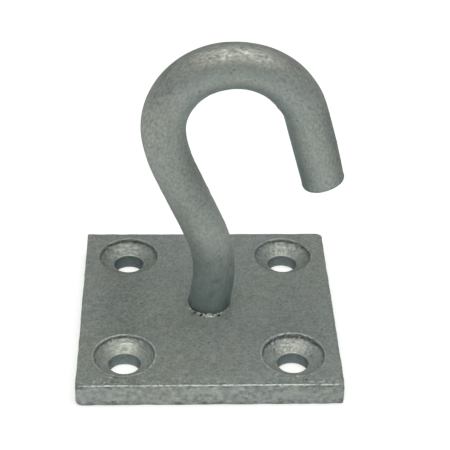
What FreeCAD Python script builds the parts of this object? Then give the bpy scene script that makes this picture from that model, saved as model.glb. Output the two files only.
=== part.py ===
import FreeCAD, Part
import math
import os

# Hook on a square plate, galvanised steel, in millimetres.
# The origin is the middle of the plate's back face and +Z points away from what the plate is screwed to.
# The bar is bent in a plane of constant Y, and the hook opens towards +X.

# Plate
PLATE_WIDTH = 50.0
PLATE_DEPTH = 50.0
PLATE_THICKNESS = 4.7
CORNER_FRONT_LEFT = 0.8
CORNER_FRONT_RIGHT = 1.4
CORNER_BACK_LEFT = 0.5
CORNER_BACK_RIGHT = 1.4
TOP_EDGE_ROUND = 0.3
BACK_EDGE_ROUND = 0.3

# Screw holes
HOLE_DIAMETER = 6.0
HOLE_TO_SIDE = 8.9
HOLE_TO_END = 8.6
HOLES_SHIFT = 0.5
COUNTERSINK_DIAMETER = 12.0
COUNTERSINK_LIP = 0.3
COUNTERSINK_WALL = 0.3
COUNTERSINK_WALL_TAPER = 0.12
COUNTERSINK_DEPTH = 2.25
SEAT_HOLLOW = 0.12
HOLE_EXIT_ROUND = 0.3

# Bar, from its foot to its tip. Angles are in degrees, and a positive bend turns towards +X.
BAR_DIAMETER = 8.3
FOOT_X = 0.4
FOOT_Y = 0.7
FOOT_LEAN = 7.4
FOOT_RUN = 4.9
FOOT_BEND_RADIUS = 25.2
FOOT_BEND_ANGLE = -30.5
SHANK_RUN = 14.2
NECK_BEND_RADIUS = 27.5
NECK_BEND_ANGLE = 16.0
ARCH_RISE_RADIUS = 13.0
ARCH_RISE_ANGLE = 88.0
ARCH_FALL_RADIUS = 13.7
ARCH_FALL_ANGLE = 83.9
TIP_RUN = 15.2
TIP_ROUND = 1.0

# Tenon that holds the bar in the plate
TENON_DIAMETER = 6.0
TENON_CLEARANCE = 0.05
TENON_HEAD_DIAMETER = 9.0
TENON_HEAD_DEPTH = 1.5

# Bead round the foot
BEAD_WIDTH = 1.3
BEAD_HEIGHT = 0.4
BEAD_BULGE = 0.1
BEAD_CREST_WIDTH = 0.2

# How far a cutting solid runs past the face that it cuts
OVERCUT = 1.0

UP = FreeCAD.Vector(0, 0, 1)


def foot_point(height):
    """The point on the foot's own axis at a height above the plate's back face."""
    return FreeCAD.Vector(FOOT_X, FOOT_Y, height)


def turned_solid(centre, outline):
    """A solid of revolution about the vertical through centre, from (radius, height) edges that form a loop."""
    wire = Part.Wire(outline)
    face = Part.Face(wire)
    face.translate(FreeCAD.Vector(centre.x, centre.y, 0))
    return face.revolve(FreeCAD.Vector(centre.x, centre.y, 0), UP, 360)


def outline_line(start, end):
    """A straight edge between two (radius, height) pairs."""
    first = FreeCAD.Vector(start[0], 0, start[1])
    last = FreeCAD.Vector(end[0], 0, end[1])
    return Part.LineSegment(first, last).toShape()


def outline_arc(start, end, sag):
    """An arc between two (radius, height) pairs that stands sag to the left of the chord at its middle."""
    first = FreeCAD.Vector(start[0], 0, start[1])
    last = FreeCAD.Vector(end[0], 0, end[1])
    chord = last - first
    left = FreeCAD.Vector(-chord.z, 0, chord.x).normalize()
    middle = first + chord * 0.5 + left * sag
    return Part.Arc(first, middle, last).toShape()


def corner_radii():
    """Radius of each upright corner of the plate, by the signs of its X and Y."""
    return {
        (-1, -1): CORNER_FRONT_LEFT,
        (1, -1): CORNER_FRONT_RIGHT,
        (-1, 1): CORNER_BACK_LEFT,
        (1, 1): CORNER_BACK_RIGHT,
    }


def plate_blank():
    """The plate with its rounded corners and edges, before any hole."""
    corner = FreeCAD.Vector(-PLATE_WIDTH / 2, -PLATE_DEPTH / 2, 0)
    blank = Part.makeBox(PLATE_WIDTH, PLATE_DEPTH, PLATE_THICKNESS, corner)
    for signs, radius in corner_radii().items():
        edges = [edge for edge in blank.Edges if is_upright_corner(edge, signs)]
        blank = blank.makeFillet(radius, edges)
    smallest = min(corner_radii().values())
    top_edges = [edge for edge in blank.Edges if lies_at(edge, PLATE_THICKNESS)]
    blank = blank.makeFillet(min(TOP_EDGE_ROUND, 0.9 * smallest), top_edges)
    back_edges = [edge for edge in blank.Edges if lies_at(edge, 0)]
    return blank.makeFillet(min(BACK_EDGE_ROUND, 0.9 * smallest), back_edges)


def is_upright_corner(edge, signs):
    """True for the sharp upright edge in the quarter of the plate with these signs."""
    box = edge.BoundBox
    same_x = abs(box.Center.x - signs[0] * PLATE_WIDTH / 2) < 1e-6
    same_y = abs(box.Center.y - signs[1] * PLATE_DEPTH / 2) < 1e-6
    return same_x and same_y and box.ZLength > PLATE_THICKNESS / 2


def lies_at(edge, height):
    """True for an edge that lies flat at a height."""
    box = edge.BoundBox
    return abs(box.ZMin - height) < 1e-6 and abs(box.ZMax - height) < 1e-6


def hole_centres():
    """The four screw holes, set in from the plate's edges and all shifted towards +Y."""
    across = PLATE_WIDTH / 2 - HOLE_TO_SIDE
    along = PLATE_DEPTH / 2 - HOLE_TO_END
    return [
        FreeCAD.Vector(side * across, end * along + HOLES_SHIFT, 0)
        for end in (-1, 1)
        for side in (-1, 1)
    ]


def screw_hole(centre):
    """What one countersunk hole takes out: a lip, a steep wall, a slightly hollow seat, a bore and its exit."""
    bore = HOLE_DIAMETER / 2
    rim = COUNTERSINK_DIAMETER / 2
    top = PLATE_THICKNESS
    seat_foot = (bore, top - COUNTERSINK_DEPTH)
    wall_foot = (rim - COUNTERSINK_LIP - COUNTERSINK_WALL_TAPER, top - COUNTERSINK_LIP - COUNTERSINK_WALL)
    wall_head = (rim - COUNTERSINK_LIP, top - COUNTERSINK_LIP)
    lip_head = (rim, top)
    exit_head = (bore, HOLE_EXIT_ROUND)
    exit_foot = (bore + HOLE_EXIT_ROUND, 0)
    round_sag = 1 - math.sqrt(0.5)
    points = [exit_foot, (bore + HOLE_EXIT_ROUND, -OVERCUT), (0, -OVERCUT), (0, top + OVERCUT), (rim, top + OVERCUT)]
    edges = [outline_line(points[i], points[i + 1]) for i in range(len(points) - 1)]
    edges.append(outline_line(points[-1], lip_head))
    edges.append(outline_arc(lip_head, wall_head, COUNTERSINK_LIP * round_sag))
    edges.append(outline_line(wall_head, wall_foot))
    edges.append(outline_arc(wall_foot, seat_foot, -SEAT_HOLLOW))
    edges.append(outline_line(seat_foot, exit_head))
    edges.append(outline_arc(exit_head, exit_foot, -HOLE_EXIT_ROUND * round_sag))
    return turned_solid(centre, edges)


def tenon_hole():
    """What the tenon's hole takes out: a bore right through, and a cone at the back for the tenon's head."""
    bore = TENON_DIAMETER / 2 + TENON_CLEARANCE
    hole = Part.makeCylinder(bore, PLATE_THICKNESS + 2 * OVERCUT, foot_point(-OVERCUT), UP)
    return hole.fuse(tenon_cone())


def tenon_cone():
    """The cone that the tenon's head fills, from the plate's back face to the tenon itself."""
    return Part.makeCone(TENON_HEAD_DIAMETER / 2, TENON_DIAMETER / 2, TENON_HEAD_DEPTH, foot_point(0), UP)


def mounting_plate():
    """The plate with its screw holes and the hole for the bar's tenon."""
    plate = plate_blank()
    for centre in hole_centres():
        plate = plate.cut(screw_hole(centre))
    return plate.cut(tenon_hole())


def heading_vector(heading):
    """The direction of travel for a heading in degrees, counted from +Z towards +X."""
    angle = math.radians(heading)
    return FreeCAD.Vector(math.sin(angle), 0, math.cos(angle))


def side_vector(heading):
    """The direction square to a heading, on the side that a positive bend turns to."""
    angle = math.radians(heading)
    return FreeCAD.Vector(math.cos(angle), 0, -math.sin(angle))


def add_run(path, point, heading, length):
    """Adds a straight run to the path, and returns where it ends."""
    end = point + heading_vector(heading) * length
    path.append(Part.LineSegment(point, end).toShape())
    return end


def add_bend(path, point, heading, radius, angle):
    """Adds an arc that leaves the point along the heading, and returns where it ends and its new heading."""
    side = math.copysign(1, angle)
    centre = point + side_vector(heading) * (side * radius)
    middle = centre - side_vector(heading + angle / 2) * (side * radius)
    end = centre - side_vector(heading + angle) * (side * radius)
    path.append(Part.Arc(point, middle, end).toShape())
    return end, heading + angle


def bar_path():
    """The bar's centreline, from one bar radius below the plate's front face to the tip."""
    heading = FOOT_LEAN
    sunk = BAR_DIAMETER / 2
    start = foot_point(PLATE_THICKNESS) - heading_vector(heading) * sunk
    path = []
    point = add_run(path, start, heading, sunk + FOOT_RUN)
    point, heading = add_bend(path, point, heading, FOOT_BEND_RADIUS, FOOT_BEND_ANGLE)
    point = add_run(path, point, heading, SHANK_RUN)
    point, heading = add_bend(path, point, heading, NECK_BEND_RADIUS, NECK_BEND_ANGLE)
    point, heading = add_bend(path, point, heading, ARCH_RISE_RADIUS, ARCH_RISE_ANGLE)
    point, heading = add_bend(path, point, heading, ARCH_FALL_RADIUS, ARCH_FALL_ANGLE)
    tip = add_run(path, point, heading, TIP_RUN)
    return path, start, tip


def bent_bar():
    """The bent bar with a rounded tip, cut off level with the plate's front face."""
    path, start, tip = bar_path()
    ring = Part.Edge(Part.Circle(start, heading_vector(FOOT_LEAN), BAR_DIAMETER / 2))
    bar = Part.Wire(path).makePipeShell([Part.Wire([ring])], True, False)
    tip_edges = [edge for edge in bar.Edges if is_circle_round(edge, tip)]
    bar = bar.makeFillet(TIP_ROUND, tip_edges)
    reach = 2 * BAR_DIAMETER
    corner = foot_point(PLATE_THICKNESS - reach) - FreeCAD.Vector(reach, reach, 0)
    return bar.cut(Part.makeBox(2 * reach, 2 * reach, reach, corner))


def is_circle_round(edge, centre):
    """True for a whole circle about a point."""
    if not isinstance(edge.Curve, Part.Circle):
        return False
    return edge.isClosed() and (edge.Curve.Center - centre).Length < 1e-4


def tenon():
    """The tenon and its head, which is flush with the plate's back face."""
    shaft = Part.makeCylinder(TENON_DIAMETER / 2, PLATE_THICKNESS + OVERCUT, foot_point(0), UP)
    return shaft.fuse(tenon_cone())


def hook():
    """The bar and its tenon, one piece."""
    return bent_bar().fuse(tenon()).removeSplitter()


def foot_bead(bar):
    """The low bead on the plate round the bar's foot, fitted to the bar that it touches.

    Its level crest is wide enough for the leaning bar to cut only the crest, never the round that falls from it.
    """
    inner = 0.8 * BAR_DIAMETER / 2
    crest_edge = BAR_DIAMETER / 2 + BEAD_CREST_WIDTH
    outer = BAR_DIAMETER / 2 + BEAD_WIDTH
    crest = PLATE_THICKNESS + BEAD_HEIGHT
    edges = [
        outline_line((inner, PLATE_THICKNESS), (outer, PLATE_THICKNESS)),
        outline_arc((outer, PLATE_THICKNESS), (crest_edge, crest), -BEAD_BULGE),
        outline_line((crest_edge, crest), (inner, crest)),
        outline_line((inner, crest), (inner, PLATE_THICKNESS)),
    ]
    return turned_solid(foot_point(0), edges).cut(bar)


def as_one_solid(shape):
    """The single solid that a cut or a fuse leaves."""
    if len(shape.Solids) != 1:
        raise ValueError("expected one solid, found %d" % len(shape.Solids))
    return shape.Solids[0]


def main():
    os.makedirs("parts", exist_ok=True)
    bar = as_one_solid(hook())
    pieces = {
        "mounting_plate": as_one_solid(mounting_plate()),
        "hook": bar,
        "foot_bead": as_one_solid(foot_bead(bar)),
    }
    for name, shape in pieces.items():
        shape.exportStep("parts/%s.step" % name)
        print(name, "volume %.1f mm3" % shape.Volume, "valid", shape.isValid(), shape.BoundBox)


main()
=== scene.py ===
import math

import bpy
import numpy as np
from mathutils import Matrix, Vector


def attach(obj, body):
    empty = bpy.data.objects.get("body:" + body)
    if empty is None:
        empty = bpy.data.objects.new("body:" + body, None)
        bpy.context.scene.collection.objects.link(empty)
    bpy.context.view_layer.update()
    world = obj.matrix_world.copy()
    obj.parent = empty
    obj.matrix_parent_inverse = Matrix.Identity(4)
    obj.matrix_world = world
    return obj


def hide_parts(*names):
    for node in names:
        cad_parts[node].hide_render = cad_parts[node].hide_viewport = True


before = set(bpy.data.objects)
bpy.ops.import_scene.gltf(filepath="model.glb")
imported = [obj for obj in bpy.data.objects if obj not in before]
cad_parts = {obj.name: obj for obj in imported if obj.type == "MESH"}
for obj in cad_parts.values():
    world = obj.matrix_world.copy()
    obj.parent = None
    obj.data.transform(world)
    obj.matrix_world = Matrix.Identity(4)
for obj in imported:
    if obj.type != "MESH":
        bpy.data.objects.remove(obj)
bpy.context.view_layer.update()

# Everything below is worked out in millimetres in the part's own frame, and put into Blender in metres.
MM = 0.001

# Plate. Its quarters are named by the signs of X and Y, with the front at -Y. A corner has a radius at its
# top and one at its back.
PLATE_HALF = 25.0
PLATE_TOP = 4.7
CORNER_RADII = {(-1, -1): (0.5, 0.4), (1, -1): (1.3, 0.5), (-1, 1): (0.5, 0.5), (1, 1): (1.4, 1.4)}
# How much rounder the corners are at the very bottom
FOOT_CORNERS = {(-1, -1): 1.1, (1, -1): 0.3, (-1, 1): 0.0, (1, 1): 0.0}
TOP_EDGE_ROUND = 0.2
BACK_EDGE_ROUND = 0.06

# Screw holes
HOLE_ACROSS = 16.1
HOLE_ALONG = 16.4
HOLES_SHIFT = 0.5
SINK_LIP = 0.3
SINK_WALL_TAPER = 0.12
SEAT_HOLLOW = 0.12
# The zinc stands unevenly thick in the holes. Front left, front right, back left and back right, each has
# its sink's radius, the wall under its lip, its seat's depth, the bore's radius at the seat's foot and at its
# exit, the exit's round and how far the exit lies to the front.
HOLE_SHAPES = {
    (-1, -1): (6.0, 0.28, 2.16, 3.08, 3.03, 0.25, 0.2),
    (1, -1): (6.18, 0.5, 2.2, 2.98, 2.96, 0.3, 0.1),
    (-1, 1): (6.22, 0.42, 1.98, 3.05, 2.9, 0.1, 0.25),
    (1, 1): (6.06, 0.32, 2.15, 2.98, 2.88, 0.12, 0.0),
}
# How much longer than wide the zinc makes the sinks at their rims, and the radius from which it does
SINK_STRETCH = 0.045
STRETCH_FROM = 3.0
# The height at which a bore starts to lean towards its exit
EXIT_LEAN_TOP = 2.4

# Bar, from its foot to its tip: straight runs by length, bends by radius and angle in degrees
BAR_RADIUS = 4.15
FOOT_X = 0.4
FOOT_Y = 0.7
FOOT_LEAN = 7.4
BAR_STEPS = [
    ("run", 4.9, 0.0),
    ("bend", 25.2, -30.5),
    ("run", 14.2, 0.0),
    ("bend", 27.5, 16.0),
    ("bend", 13.0, 88.0),
    ("bend", 13.7, 83.9),
    ("run", 15.2, 0.0),
]
TIP_ROUND = 0.9

# Tenon behind the plate
TENON_RADIUS = 3.0
TENON_GAP = 0.05
HEAD_RADIUS = 4.5
HEAD_DEPTH = 1.5

# Bead round the foot
BEAD_WIDTH = 1.3
BEAD_HEIGHT = 0.4

# Camera of the photograph, found by fitting the plate's edges and holes: degrees, millimetres and pixels
PHOTO_SIZE = 450
CAMERA_FOCAL = 1426.33
CAMERA_AZIMUTH = -2.329
CAMERA_ELEVATION = 33.648
CAMERA_ROLL = 1.102
CAMERA_OFFSET = (-3.62, -19.718, 287.317)
SENSOR = 36.0

# How many waves a ripple sums, in space and along a line, and how close points are that become one
RIPPLE_WAVES = 28
LINE_WAVES = 12
WELD_STEP = 1e-4


def ripple(points, wavelength, seed):
    """Smooth random relief of spread 1: a sum of plane waves in random directions, near one wavelength."""
    random = np.random.default_rng(seed)
    directions = random.normal(size=(RIPPLE_WAVES, 3))
    directions /= np.linalg.norm(directions, axis=1)[:, None]
    lengths = wavelength * random.uniform(0.75, 1.35, RIPPLE_WAVES)
    turns = points @ (directions / lengths[:, None]).T + random.uniform(0, 1, RIPPLE_WAVES)
    return np.cos(2 * np.pi * turns).sum(1) / math.sqrt(RIPPLE_WAVES / 2)


def ripple_along(value, wavelength, seed):
    """Smooth random relief of spread 1 along one direction: a sum of sine waves near one wavelength."""
    random = np.random.default_rng(seed)
    lengths = wavelength * random.uniform(0.6, 1.7, LINE_WAVES)
    turns = value[:, None] / lengths + random.uniform(0, 1, LINE_WAVES)
    return np.cos(2 * np.pi * turns).sum(1) / math.sqrt(LINE_WAVES / 2)


def waves(points, layers):
    """Several ripples on top of each other, each given by its height, its wavelength and its seed."""
    return sum(height * ripple(points, wavelength, seed) for height, wavelength, seed in layers)


def scattered(low, high, count, seed):
    """Places spread evenly at random through a box."""
    return np.random.default_rng(seed).uniform(low, high, (count, 3))


def bumps(points, centres, radius, height):
    """Round bumps: the sum over the centres of height times exp(-(distance / radius) squared)."""
    relief = np.zeros(len(points))
    for centre in centres:
        relief += height * np.exp(-np.sum((points - centre) ** 2, axis=1) / radius**2)
    return relief


def hill(value, centre, width):
    """1 at the centre and falling off on both sides: exp(-((value - centre) / width) squared)."""
    return np.exp(-((value - centre) / width) ** 2)


def smooth_step(value, low, high):
    """0 below low, 1 above high, and a smooth S between them."""
    part = np.clip((value - low) / (high - low), 0, 1)
    return part * part * (3 - 2 * part)


def grid_faces(rows, columns, start=0):
    """Four-sided faces between the neighbours of a grid of points that is stored row by row."""
    index = start + np.arange(rows * columns).reshape(rows, columns)
    corners = (index[:-1, :-1], index[:-1, 1:], index[1:, 1:], index[1:, :-1])
    return np.stack([corner.ravel() for corner in corners], axis=1)


def weld(points, faces):
    """Joins points that share a place, so that neighbouring grids become one surface."""
    keys = np.round(points / WELD_STEP).astype(np.int64)
    _, first, inverse = np.unique(keys, axis=0, return_index=True, return_inverse=True)
    return points[first], inverse.reshape(-1)[faces], first


def point_normals(points, faces):
    """The outward direction at each point: the sum of its faces' area vectors, made one unit long."""
    first, second = points[faces[:, 2]] - points[faces[:, 0]], points[faces[:, 3]] - points[faces[:, 1]]
    area = np.cross(first, second)
    total = np.zeros_like(points)
    for corner in range(4):
        np.add.at(total, faces[:, corner], area)
    length = np.linalg.norm(total, axis=1)
    return total / np.maximum(length, 1e-12)[:, None]


def add_mesh(name, points, faces, marks, grain):
    """A smooth-shaded object from points in millimetres and four-sided faces.

    A face with two corners at one point becomes a triangle, which closes a pole. Each point carries two sets
    of three values for the finish: its marks, which are its painted highlight and wear, its painted shade and
    matt marks, and how it glints or, below 0, how smooth it is, with a painted cool shade tint; and its
    grain, which is the place in millimetres that the drawn texture follows.
    """
    kept = []
    doubled = np.zeros(len(faces), bool)
    for corner in range(4):
        same = faces[:, corner] == faces[:, (corner + 1) % 4]
        doubled |= same
        kept.append(np.delete(faces[same], corner, axis=1))
    quads = faces[~doubled]
    triangles = np.concatenate(kept)
    mesh = bpy.data.meshes.new(name)
    mesh.from_pydata((points * MM).tolist(), [], quads.tolist() + triangles.tolist())
    mesh.validate()
    for key, values in (("marks", marks), ("grain", grain)):
        layer = mesh.attributes.new(key, "FLOAT_VECTOR", "POINT")
        layer.data.foreach_set("vector", values.astype(np.float32).ravel())
    mesh.shade_smooth()
    piece = bpy.data.objects.new(name, mesh)
    bpy.context.scene.collection.objects.link(piece)
    return piece


def arc_points(centre, radius, first, last, count):
    """Points on a circle arc between two angles in degrees, in the plane of the pair."""
    angle = np.radians(np.linspace(first, last, count))
    return np.stack([centre[0] + radius * np.cos(angle), centre[1] + radius * np.sin(angle)], axis=1)


def line_points(first, last, count):
    """Evenly spaced points from first to last."""
    share = np.linspace(0, 1, count)[:, None]
    return np.asarray(first) * (1 - share) + np.asarray(last) * share


def bowed_points(first, last, sag, count):
    """Points from first to last on a shallow parabola that stands sag to the left of the chord."""
    first, last = np.asarray(first, float), np.asarray(last, float)
    chord = last - first
    left = np.array([-chord[1], chord[0]]) / np.linalg.norm(chord)
    share = np.linspace(0, 1, count)[:, None]
    return first + chord * share + left * (4 * sag * share * (1 - share))


def joined(*pieces):
    """One list of points from several, without the points that two neighbours share."""
    return np.concatenate([pieces[0]] + [piece[1:] for piece in pieces[1:]])


# Points along a screw hole's profile: its exit, bore, seat, wall and lip
EXIT_STEPS = 4
BORE_STEPS = 9
SEAT_STEPS = 20
WALL_STEPS = 6
LIP_STEPS = 8


def hole_profile(signs):
    """Radius and height down a screw hole, from its exit at the back up its bore and seat to its rim.

    Between the seat and the rim's lip is a steep step, the wall.
    """
    top = PLATE_TOP
    sink_radius, wall, depth, bore_radius, exit_radius, exit_round, _ = HOLE_SHAPES[signs]
    seat_foot = (bore_radius, top - depth)
    wall_head = (sink_radius - SINK_LIP, top - SINK_LIP)
    wall_foot = (wall_head[0] - SINK_WALL_TAPER, wall_head[1] - wall)
    leave = arc_points((exit_radius + exit_round, exit_round), exit_round, 270, 180, EXIT_STEPS)
    bore = line_points(leave[-1], seat_foot, BORE_STEPS)
    seat = bowed_points(seat_foot, wall_foot, -SEAT_HOLLOW, SEAT_STEPS)
    step = line_points(wall_foot, wall_head, WALL_STEPS)
    lip = arc_points((sink_radius, top - SINK_LIP), SINK_LIP, 180, 90, LIP_STEPS)
    return joined(leave, bore, seat, step, lip)


# Points of the plate's grids: along a seam, along its sides and its finer front, round a corner and the foot,
# over its top and back, round an edge, down its sides, and down the tenon's hole and the cone of its head
SEAM_STEPS = 38
SIDE_STEPS = 44
FRONT_STEPS = 124
CORNER_STEPS = 8
FOOT_STEPS = 14
TOP_ROWS = 36
BACK_ROWS = 8
EDGE_ROWS = 7
SIDE_ROWS = 15
TENON_STEPS = 5
CONE_STEPS = 4
# The smallest radius that a corner keeps where the plate's edge rounds over
LEAST_CORNER = 0.02


def quarter_outline(reach, inset, corner, centre_radius, end_steps):
    """The loop round one quarter of the plate, in distances from the bar's foot that count outwards.

    It runs out along one seam, round the plate's two outer sides and its rounded corner, back along the
    other seam and round the tenon. The inset moves only the outer sides inwards.
    """
    reach_p, reach_q, corner = reach[0] - inset, reach[1] - inset, max(corner - inset, LEAST_CORNER)
    seam_p = line_points((centre_radius, 0), (reach_p, 0), SEAM_STEPS)
    side = line_points((reach_p, 0), (reach_p, reach_q - corner), SIDE_STEPS)
    turn = arc_points((reach_p - corner, reach_q - corner), corner, 0, 90, CORNER_STEPS)
    end = line_points((reach_p - corner, reach_q), (0, reach_q), end_steps)
    seam_q = line_points((0, reach_q), (0, centre_radius), SEAM_STEPS)
    foot = arc_points((0, 0), centre_radius, 90, 0, FOOT_STEPS)
    return joined(seam_p, side, turn, end, seam_q, foot)


def both_ends(count):
    """Shares from 0 to 1 that crowd at both ends: even steps mixed with half a cosine wave."""
    even = np.linspace(0, 1, count)
    return 0.3 * even + 0.7 * (0.5 - 0.5 * np.cos(np.pi * even))


def stretch(radius):
    """How much longer than wide a hole is at a radius: not at all at its bore, and most at its rim."""
    return 1 + SINK_STRETCH * np.clip(radius / STRETCH_FROM - 1, 0, 1)


def plate_quarter(signs):
    """One quarter of the plate round its screw hole, as grids of points, each a (rows, columns, 3) array.

    The first grid runs from the hole's exit up to its rim and out over the top to the quarter's outline. The
    second runs from the exit over the back. The third goes round the outer edges and the fourth down the
    tenon's hole.
    """
    mirror = np.array(signs, float)
    foot = np.array([FOOT_X, FOOT_Y])
    reach = PLATE_HALF - mirror * foot
    hole = (mirror * (HOLE_ACROSS, HOLE_ALONG) + (0, HOLES_SHIFT) - foot) * mirror
    end_steps = FRONT_STEPS if signs[1] < 0 else SIDE_STEPS
    outer_start = SEAM_STEPS - 1
    outer_end = outer_start + SIDE_STEPS + end_steps + CORNER_STEPS - 3
    foot_start = outer_end + SEAM_STEPS - 1

    def ring(inset, height, centre_radius):
        top_corner, back_corner = CORNER_RADII[signs]
        corner = back_corner + (top_corner - back_corner) * height / PLATE_TOP
        corner += FOOT_CORNERS[signs] * (1 - smooth_step(height, 0, 1.0))
        outline = quarter_outline(reach, inset, corner, centre_radius, end_steps)
        return np.column_stack([outline, np.full(len(outline), height)])

    top_ring = ring(TOP_EDGE_ROUND, PLATE_TOP, TENON_RADIUS + TENON_GAP)
    back_ring = ring(BACK_EDGE_ROUND, 0.0, HEAD_RADIUS)
    angle = np.arctan2(top_ring[:, 1] - hole[1], top_ring[:, 0] - hole[0])
    radius, height = hole_profile(signs).T[:, :, None]
    shift = -mirror[1] * HOLE_SHAPES[signs][-1] * (1 - smooth_step(height, 0, EXIT_LEAN_TOP))
    across = hole[0] + radius * np.cos(angle)
    along = hole[1] + stretch(radius) * radius * np.sin(angle) + shift
    circles = np.stack([across, along], axis=2)
    bowl = np.dstack([circles, np.broadcast_to(height, circles.shape[:2])])
    share = both_ends(TOP_ROWS)[1:, None, None]
    top = bowl[-1] * (1 - share) + top_ring * share
    share = np.linspace(0, 1, BACK_ROWS)[:, None, None]
    back = bowl[0] * (1 - share) + back_ring * share
    loops = [ring(inset, height, HEAD_RADIUS) for inset, height in edge_profile()]
    rim = np.stack(loops)[:, outer_start:outer_end + 1]
    gap = TENON_RADIUS + TENON_GAP
    wall = joined(
        line_points((gap, PLATE_TOP), (gap, HEAD_DEPTH - TENON_GAP), TENON_STEPS),
        line_points((gap, HEAD_DEPTH - TENON_GAP), (HEAD_RADIUS, 0), CONE_STEPS),
    )
    throat = np.stack([ring(0, height, radius)[foot_start:] for radius, height in wall])
    grids = [np.concatenate([bowl, top]), back[::-1], rim, throat]
    for grid in grids:
        grid[..., :2] = foot + grid[..., :2] * mirror
    if mirror.prod() > 0:
        grids = [grid[:, ::-1] for grid in grids]
    return grids


def edge_profile():
    """Inset from the plate's side and height, from its top round the outer edge to its back.

    The heights crowd towards the top, where the burr and the line under it are.
    """
    over = arc_points((TOP_EDGE_ROUND, PLATE_TOP - TOP_EDGE_ROUND), TOP_EDGE_ROUND, 90, 180, EDGE_ROWS)
    under = arc_points((BACK_EDGE_ROUND, BACK_EDGE_ROUND), BACK_EDGE_ROUND, 180, 270, EDGE_ROWS)
    share = np.linspace(0, 1, SIDE_ROWS)[:, None] ** 1.5
    side = over[-1] * (1 - share) + under[0] * share
    return joined(over, side, under)


def plate_surface():
    """The whole plate's welded surface, before its relief."""
    points, faces, count = [], [], 0
    for signs in CORNER_RADII:
        for grid in plate_quarter(signs):
            rows, columns = grid.shape[:2]
            points.append(grid.reshape(-1, 3))
            faces.append(grid_faces(rows, columns, count))
            count += rows * columns
    points, faces, _ = weld(np.concatenate(points), np.concatenate(faces))
    return points, faces


def nearest_hole(points):
    """For each point the number of its nearest hole, its distance from that axis and its angle round it."""
    centres = np.array(list(CORNER_RADII)) * (HOLE_ACROSS, HOLE_ALONG) + (0, HOLES_SHIFT)
    offset = points[:, None, :2] - centres
    offset[..., 1] /= stretch(np.linalg.norm(offset, axis=2))
    distance = np.linalg.norm(offset, axis=2)
    number = distance.argmin(1)
    chosen = np.arange(len(points)), number
    angle = np.arctan2(offset[..., 1], offset[..., 0])
    return number, distance[chosen], angle[chosen]


# Each hole in the same order: how strong its lip is, both its rise and its painted highlight, which side of
# the rim it favours in degrees and by how much; the painted highlight, painted shade and glint of its seat,
# the painted shade in its bore and in the crease under its lip; and how the seat's grain is drawn out, round
# the hole or down it
LIP_STRENGTHS = np.array([1.0, 0.8, 0.25, 0.25])
LIP_SIDES = np.radians([65.0, 125.0, 90.0, 80.0])
LIP_FALLS = np.array([0.65, 0.95, 0.8, 0.9])
SEAT_HIGHLIGHT = np.array([0.16, 0.13, 0.015, 0.04])
SEAT_SHADE = np.array([0.0, 0.0, 0.14, 0.06])
SEAT_GLINT = np.array([0.9, 0.8, 0.6, 0.5])
BORE_SHADE = np.array([0.25, 0.4, 0.52, 0.34])
CREASE_SHADE = np.array([0.34, 0.42, 0.36, 0.24])
GRAIN_ROUND = np.array([0.35, 0.8, 0.6, 1.0])
GRAIN_DOWN = np.array([1.2, 0.8, 0.7, 0.45])
# The radius of a seat's middle, which its grain is unrolled on, and that of a bore
SEAT_MIDDLE = 4.4
BORE_MIDDLE = 1.4
# How far these spread: the lip's painted highlight, the painted shade in the crease under it, the painted
# highlight on the bore's edge, and the ragged rim
LIP_SPREAD = 0.12
CREASE_SPREAD = 0.11
BORE_EDGE_SPREAD = 0.13
RAGGED_SPREAD = 0.35
# Pits in the seats, bright specks by the near rims, dark stain spots there and on the front, and
# scratches on top. The spot at (-2.8, -3.1) left of the bar's foot is a painted shadow of its flare.
SEAT_PITS = [(-19.3, 20.4, 3.6), (13.0, -13.3, 3.1), (19.6, -14.2, 3.0)]
RIM_SPECKS = [(-18.5, -22.7), (-12.2, -23.6), (12.6, -22.1), (16.4, -22.4), (18.9, -22.0)]
STAINS_AND_SHADOW = [
    (-17.4, -22.5, 4.7), (-18.1, -23.7, 4.7), (21.8, 18.4, 4.6), (21.5, 17.2, 4.4), (17.8, -23.5, 4.7),
    (-24.7, -25.0, 4.2), (-23.9, -25.0, 4.2), (-18.6, -25.0, 4.2), (-4.0, -25.0, 4.3), (-2.8, -3.1, 4.7),
    (19.2, -25.0, 4.3), (20.6, -25.0, 4.4), (24.7, -24.8, 1.0), (24.2, -25.0, 0.3), (25.0, -24.2, 3.4),
]
SCRATCHES = [((-18.4, 1.0), (-13.8, 2.7)), ((-18.6, 3.3), (-16.6, 5.0)), ((-15.6, 3.6), (-13.9, 4.1))]


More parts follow.
